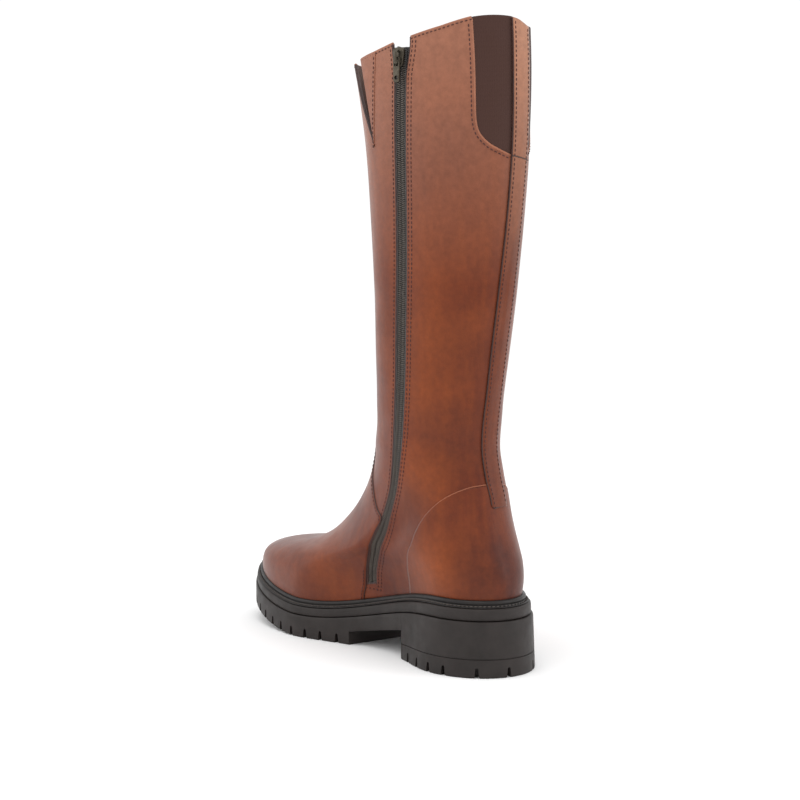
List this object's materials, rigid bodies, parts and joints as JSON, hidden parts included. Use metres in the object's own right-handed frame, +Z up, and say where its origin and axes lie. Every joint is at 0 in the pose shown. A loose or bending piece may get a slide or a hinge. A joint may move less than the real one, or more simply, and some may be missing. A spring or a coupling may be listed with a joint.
{
  "type": "knee-high boot",
  "caption": "Right knee-high leather boot with an inner side zip, an elastic gore at the back of the collar and a lugged block-heel sole.",
  "frame": {"origin": "on the floor under the middle of the heel block, at the mount heel_rest", "axes": "+X to the toe, +Y to the medial side (the wearer's left), +Z up the shaft"},
  "size_m": [0.2787, 0.104, 0.4158],
  "materials": {
    "upper_leather": "burnished full-grain leather, satin",
    "strip_leather": "satin leather with dark edges",
    "insole_leather": "matt lining leather",
    "gore_elastic": "ribbed elastic webbing",
    "sole_rubber": "matt moulded rubber",
    "welt_rubber": "smooth satin rubber",
    "zip_fabric": "woven tape and nylon coil",
    "zip_metal": "gunmetal"
  },
  "bodies": {
    "boot": {"outsole": "sole_rubber", "midsole_band": "sole_rubber", "insole": "insole_leather", "welt": "welt_rubber", "upper": "upper_leather", "gore": "gore_elastic", "back_strip": "strip_leather", "zip_tape": "zip_fabric", "zip_slider": "zip_metal"},
    "pull": {"zip_pull": "zip_metal"}
  },
  "joints": [
    {"name": "pull_hinge", "type": "hinge", "parent": "boot", "child": "pull", "pos_m": [0.01756, 0.05133, 0.3921], "axis": [0.9749, 0.2226, 0], "range_deg": [0, 165]}
  ]
}
